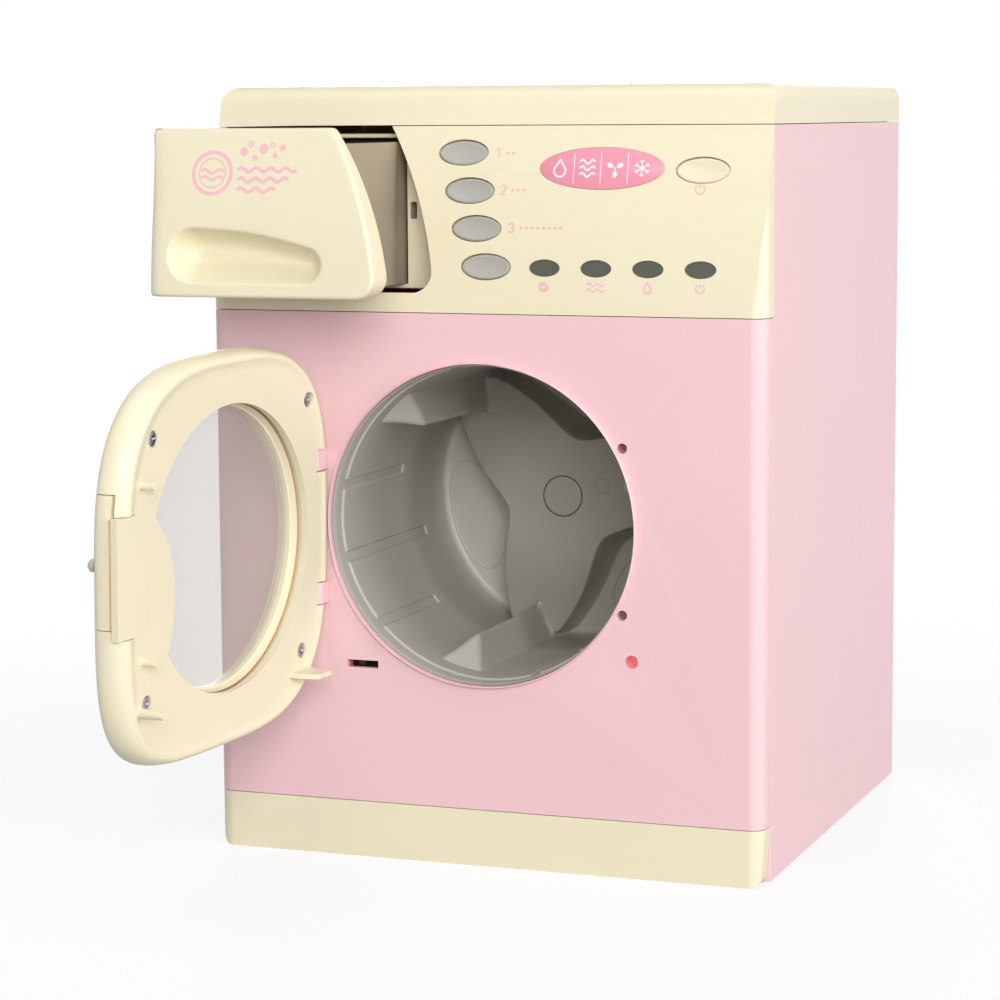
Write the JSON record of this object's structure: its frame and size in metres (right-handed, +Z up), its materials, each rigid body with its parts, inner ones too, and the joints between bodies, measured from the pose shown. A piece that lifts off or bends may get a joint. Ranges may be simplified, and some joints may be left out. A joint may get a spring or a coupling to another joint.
{
  "type": "toy washing machine",
  "caption": "Front-loading toy washing machine with a spinning drum, round port, hinged window door, sliding soap drawer, push buttons and a battery drive",
  "frame": {"origin": "Middle of the cabinet's footprint, on the floor", "axes": "+X to the right as seen from the front, +Y to the back, +Z up"},
  "size_m": [0.217, 0.3483, 0.29],
  "materials": {
    "pink_plastic": "satin moulded plastic",
    "cream_plastic": "satin moulded plastic",
    "grey_plastic": "satin moulded plastic",
    "tray_plastic": "satin moulded plastic",
    "button_plastic": "satin moulded plastic",
    "gear_plastic": "plain moulded plastic",
    "bracket_plastic": "plain moulded plastic",
    "black_plastic": "plain moulded plastic",
    "lens_plastic": "dark lens with a fine mesh",
    "label_pink": "printed film",
    "board": "circuit board",
    "cell_wrap": "plain sleeve",
    "steel": "bright steel",
    "brass": "sintered bush",
    "clear_plastic": "clear moulded plastic"
  },
  "bodies": {
    "cabinet": {"rear_shell": "pink_plastic", "front_panel": "pink_plastic", "control_fascia": "cream_plastic", "top_lid": "cream_plastic", "base_plinth": "cream_plastic", "base_plate": "pink_plastic", "drawer_bay": "cream_plastic", "shaft_bush": "brass", "drive_motor": "steel", "drive_bracket": "bracket_plastic", "bracket_screws": "steel", "button_switches": "black_plastic", "control_board": "board", "indicator_lenses": "lens_plastic", "indicator_leds": "clear_plastic", "display_label": "label_pink", "door_switch": "black_plastic", "battery_box": "black_plastic", "battery_cells": "cell_wrap", "battery_contacts": "steel", "base_screws": "steel"},
    "drum": {"drum": "grey_plastic", "drum_shaft": "steel", "shaft_clip": "steel", "drive_gear": "gear_plastic"},
    "pinion": {"motor_pinion": "gear_plastic", "motor_shaft": "steel"},
    "door": {"door_outer_frame": "cream_plastic", "door_inner_frame": "cream_plastic", "door_window": "clear_plastic", "hinge_pins": "steel", "door_screws": "steel"},
    "handle": {"door_handle": "cream_plastic", "handle_cap": "grey_plastic"},
    "drawer": {"drawer_front": "cream_plastic", "drawer_tray": "tray_plastic", "drawer_screws": "steel"},
    "switch_plunger": {"switch_plunger": "black_plastic"},
    "battery_door": {"battery_door": "pink_plastic", "battery_screw": "steel"},
    "power_button": {"power_button": "cream_plastic"},
    "program_button_1": {"program_button_1": "button_plastic"},
    "program_button_2": {"program_button_2": "button_plastic"},
    "program_button_3": {"program_button_3": "button_plastic"},
    "program_button_4": {"program_button_4": "button_plastic"}
  },
  "joints": [
    {"name": "drum_spin", "type": "hinge", "parent": "cabinet", "child": "drum", "pos_m": [0, 0, 0.1285], "axis": [0, 1, 0], "continuous": true},
    {"name": "pinion_spin", "type": "hinge", "parent": "cabinet", "child": "pinion", "pos_m": [0, 0, 0.09335], "axis": [0, 1, 0], "continuous": true},
    {"name": "door_hinge", "type": "hinge", "parent": "cabinet", "child": "door", "pos_m": [-0.064, -0.11, 0.1285], "axis": [0, -0.0297, 0.9996], "range_deg": [0, 97]},
    {"name": "handle_squeeze", "type": "slide", "parent": "door", "child": "handle", "axis": [0.9921, -0.1209, -0.0333], "range_m": [0, 0.001], "stiffness_N_per_m": 300},
    {"name": "drawer_slide", "type": "slide", "parent": "cabinet", "child": "drawer", "axis": [0, 1, 0], "range_m": [0, 0.054]},
    {"name": "door_switch_press", "type": "slide", "parent": "cabinet", "child": "switch_plunger", "axis": [0, 1, 0], "range_m": [0, 0.00465], "stiffness_N_per_m": 60},
    {"name": "battery_door_lift", "type": "slide", "parent": "cabinet", "child": "battery_door", "axis": [0, 1, 0], "range_m": [0, 0.02]},
    {"name": "program_button_1_press", "type": "slide", "parent": "cabinet", "child": "program_button_1", "axis": [0, 0.9716, -0.2368], "range_m": [0, 0.0012], "stiffness_N_per_m": 300},
    {"name": "program_button_2_press", "type": "slide", "parent": "cabinet", "child": "program_button_2", "axis": [0, 0.9831, -0.1831], "range_m": [0, 0.0012], "stiffness_N_per_m": 300},
    {"name": "program_button_3_press", "type": "slide", "parent": "cabinet", "child": "program_button_3", "axis": [0, 0.9918, -0.1281], "range_m": [0, 0.0012], "stiffness_N_per_m": 300},
    {"name": "program_button_4_press", "type": "slide", "parent": "cabinet", "child": "program_button_4", "axis": [0, 0.9975, -0.0711], "range_m": [0, 0.0012], "stiffness_N_per_m": 300},
    {"name": "power_button_press", "type": "slide", "parent": "cabinet", "child": "power_button", "axis": [0, 0.9772, -0.2125], "range_m": [0, 0.0012], "stiffness_N_per_m": 300}
  ],
  "couplings": [
    {"joint": "pinion_spin", "follows": "drum_spin", "ratio": -4},
    {"joint": "door_switch_press", "follows": "door_hinge", "m_per_rad": 0.0027171}
  ]
}
